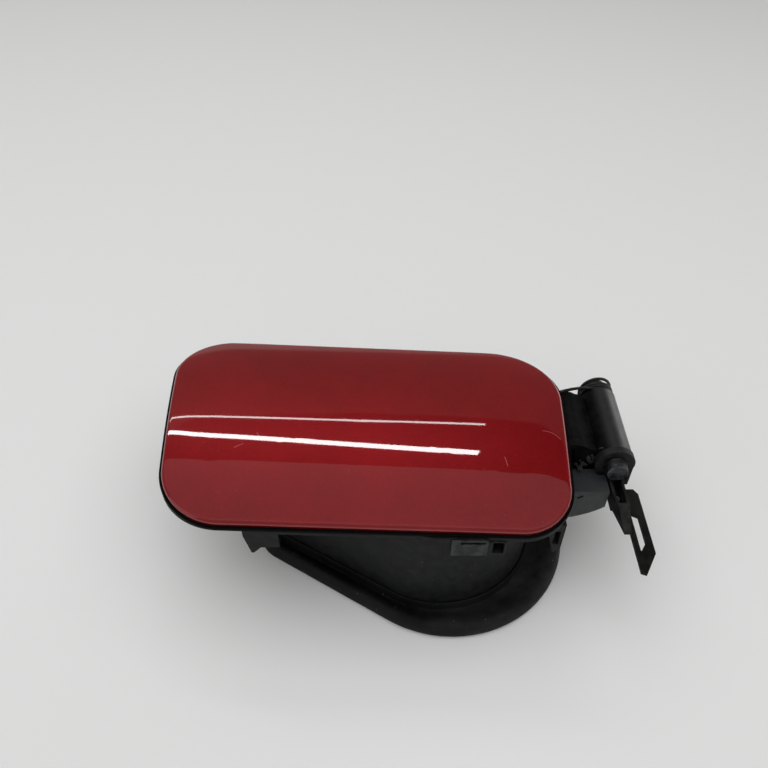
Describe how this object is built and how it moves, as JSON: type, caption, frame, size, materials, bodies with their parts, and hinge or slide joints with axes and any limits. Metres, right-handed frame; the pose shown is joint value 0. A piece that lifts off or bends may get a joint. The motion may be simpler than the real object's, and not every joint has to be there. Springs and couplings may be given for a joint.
{
  "type": "car fuel door",
  "caption": "Car fuel door: painted flap on a sprung gooseneck hinge over a moulded filler pocket with a soft lip seal, latch bolt and slotted fixing tongue.",
  "frame": {"origin": "axis of the filler neck's hole, on the plane that the lip seal rests on", "axes": "+X from the neck to the hinge, +Y along the hinge pin away from its head, +Z out through the flap"},
  "size_m": [0.2439, 0.1433, 0.0806],
  "materials": {
    "red_paint": "clear-coated metallic paint, lightly scratched",
    "black_plastic": "satin moulding, dusty",
    "grey_plastic": "worn satin moulding",
    "strap_plastic": "matte moulding",
    "clip_plastic": "smooth moulding",
    "bush_plastic": "plain bearing plastic",
    "soft_rubber": "matt rubber, dusty",
    "zinc_steel": "zinc plated",
    "spring_steel": "oiled wire",
    "pin_steel": "dark coated, scratched"
  },
  "bodies": {
    "pocket": {"pocket_housing": "grey_plastic", "lip_seal": "soft_rubber", "neck_seal": "soft_rubber", "hinge_bracket": "black_plastic", "bracket_screws": "zinc_steel", "hinge_pin": "pin_steel", "pin_clip": "zinc_steel", "fixing_tongue": "strap_plastic", "tongue_rivet": "zinc_steel", "front_clip": "clip_plastic", "latch_body": "black_plastic", "latch_screws": "zinc_steel", "latch_spring": "spring_steel"},
    "flap": {"outer_panel": "red_paint", "inner_carrier": "black_plastic", "hinge_arm": "grey_plastic", "arm_screws": "zinc_steel", "front_bush": "bush_plastic", "rear_bush": "bush_plastic", "striker": "zinc_steel", "striker_rivets": "zinc_steel", "bump_stop_front": "soft_rubber", "bump_stop_back": "soft_rubber", "cap_holder": "black_plastic", "torsion_spring": "spring_steel"},
    "latch": {"latch_bolt": "clip_plastic"}
  },
  "joints": [
    {"name": "flap_hinge", "type": "hinge", "parent": "pocket", "child": "flap", "pos_m": [0.0873, 0.0215, 0.064], "axis": [0, 1, 0], "range_deg": [0, 95], "deforming": ["torsion_spring"]},
    {"name": "latch_slide", "type": "slide", "parent": "pocket", "child": "latch", "axis": [-1, 0, 0], "range_m": [0, 0.004], "stiffness_N_per_m": 300, "deforming": ["latch_spring"]}
  ]
}
